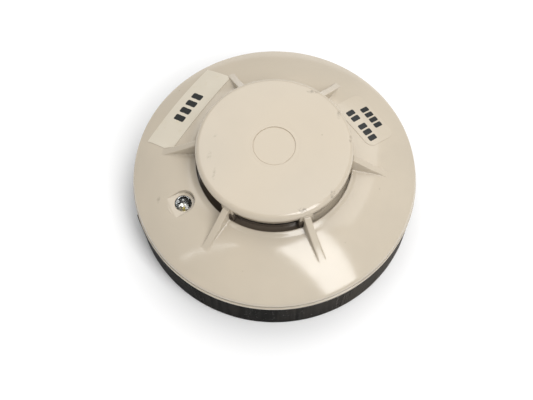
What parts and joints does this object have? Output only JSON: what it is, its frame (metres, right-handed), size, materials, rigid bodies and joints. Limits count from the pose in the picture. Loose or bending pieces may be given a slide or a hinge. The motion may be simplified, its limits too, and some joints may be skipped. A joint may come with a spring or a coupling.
{
  "type": "heat detector",
  "caption": "Round point heat detector with a domed cover, finned air slot and cap, indicator lens and a twist-lock steel mounting base.",
  "frame": {"origin": "centre of the flat mounting face at the back of the steel base", "axes": "+Z out of the mounting face through the cap, +X along one fin and along the line of the fixing slots, +Y along the line of the fixing holes"},
  "size_m": [0.1104, 0.1104, 0.0412],
  "materials": {
    "cover_plastic": "glossy cream moulded plastic",
    "screen_mesh": "fine dark mesh",
    "chamber_plastic": "satin cream moulded plastic",
    "bead_glass": "glossy resin bead",
    "tinned_wire": "tinned",
    "board_laminate": "green solder mask",
    "chip_body": "black moulded resin",
    "capacitor_can": "sleeved can",
    "led_body": "water-clear resin",
    "lens_clear": "clear polished",
    "contact_metal": "plated spring brass",
    "plated_steel": "bright zinc plate",
    "tape_paper": "satin label tape",
    "sticker_film": "clear film",
    "base_steel": "dark passivated zinc plate",
    "carrier_plastic": "satin cream moulded plastic",
    "screw_brass": "bright"
  },
  "bodies": {
    "base": {"base_plate": "base_steel", "base_band": "base_steel", "terminal_carrier": "carrier_plastic", "lock_ring": "carrier_plastic", "carrier_rivets": "plated_steel", "contact_springs": "contact_metal", "terminal_clamps": "plated_steel", "terminal_screws": "screw_brass"},
    "head": {"front_cover": "cover_plastic", "insect_screen": "screen_mesh", "chamber_floor": "chamber_plastic", "thermistor_bead": "bead_glass", "thermistor_leads": "tinned_wire", "circuit_board": "board_laminate", "microcontroller": "chip_body", "electrolytic_capacitor": "capacitor_can", "surface_mount_parts": "chip_body", "indicator_led": "led_body", "indicator_lens": "lens_clear", "rear_housing": "cover_plastic", "contact_blades": "contact_metal", "contact_pins": "plated_steel", "housing_screws": "plated_steel", "address_tape": "tape_paper", "clear_sticker": "sticker_film"}
  },
  "joints": [
    {"name": "head_twist", "type": "hinge", "parent": "base", "child": "head", "pos_m": [0, 0, 0.0165], "axis": [0, 0, 1], "range_deg": [0, 18]}
  ]
}
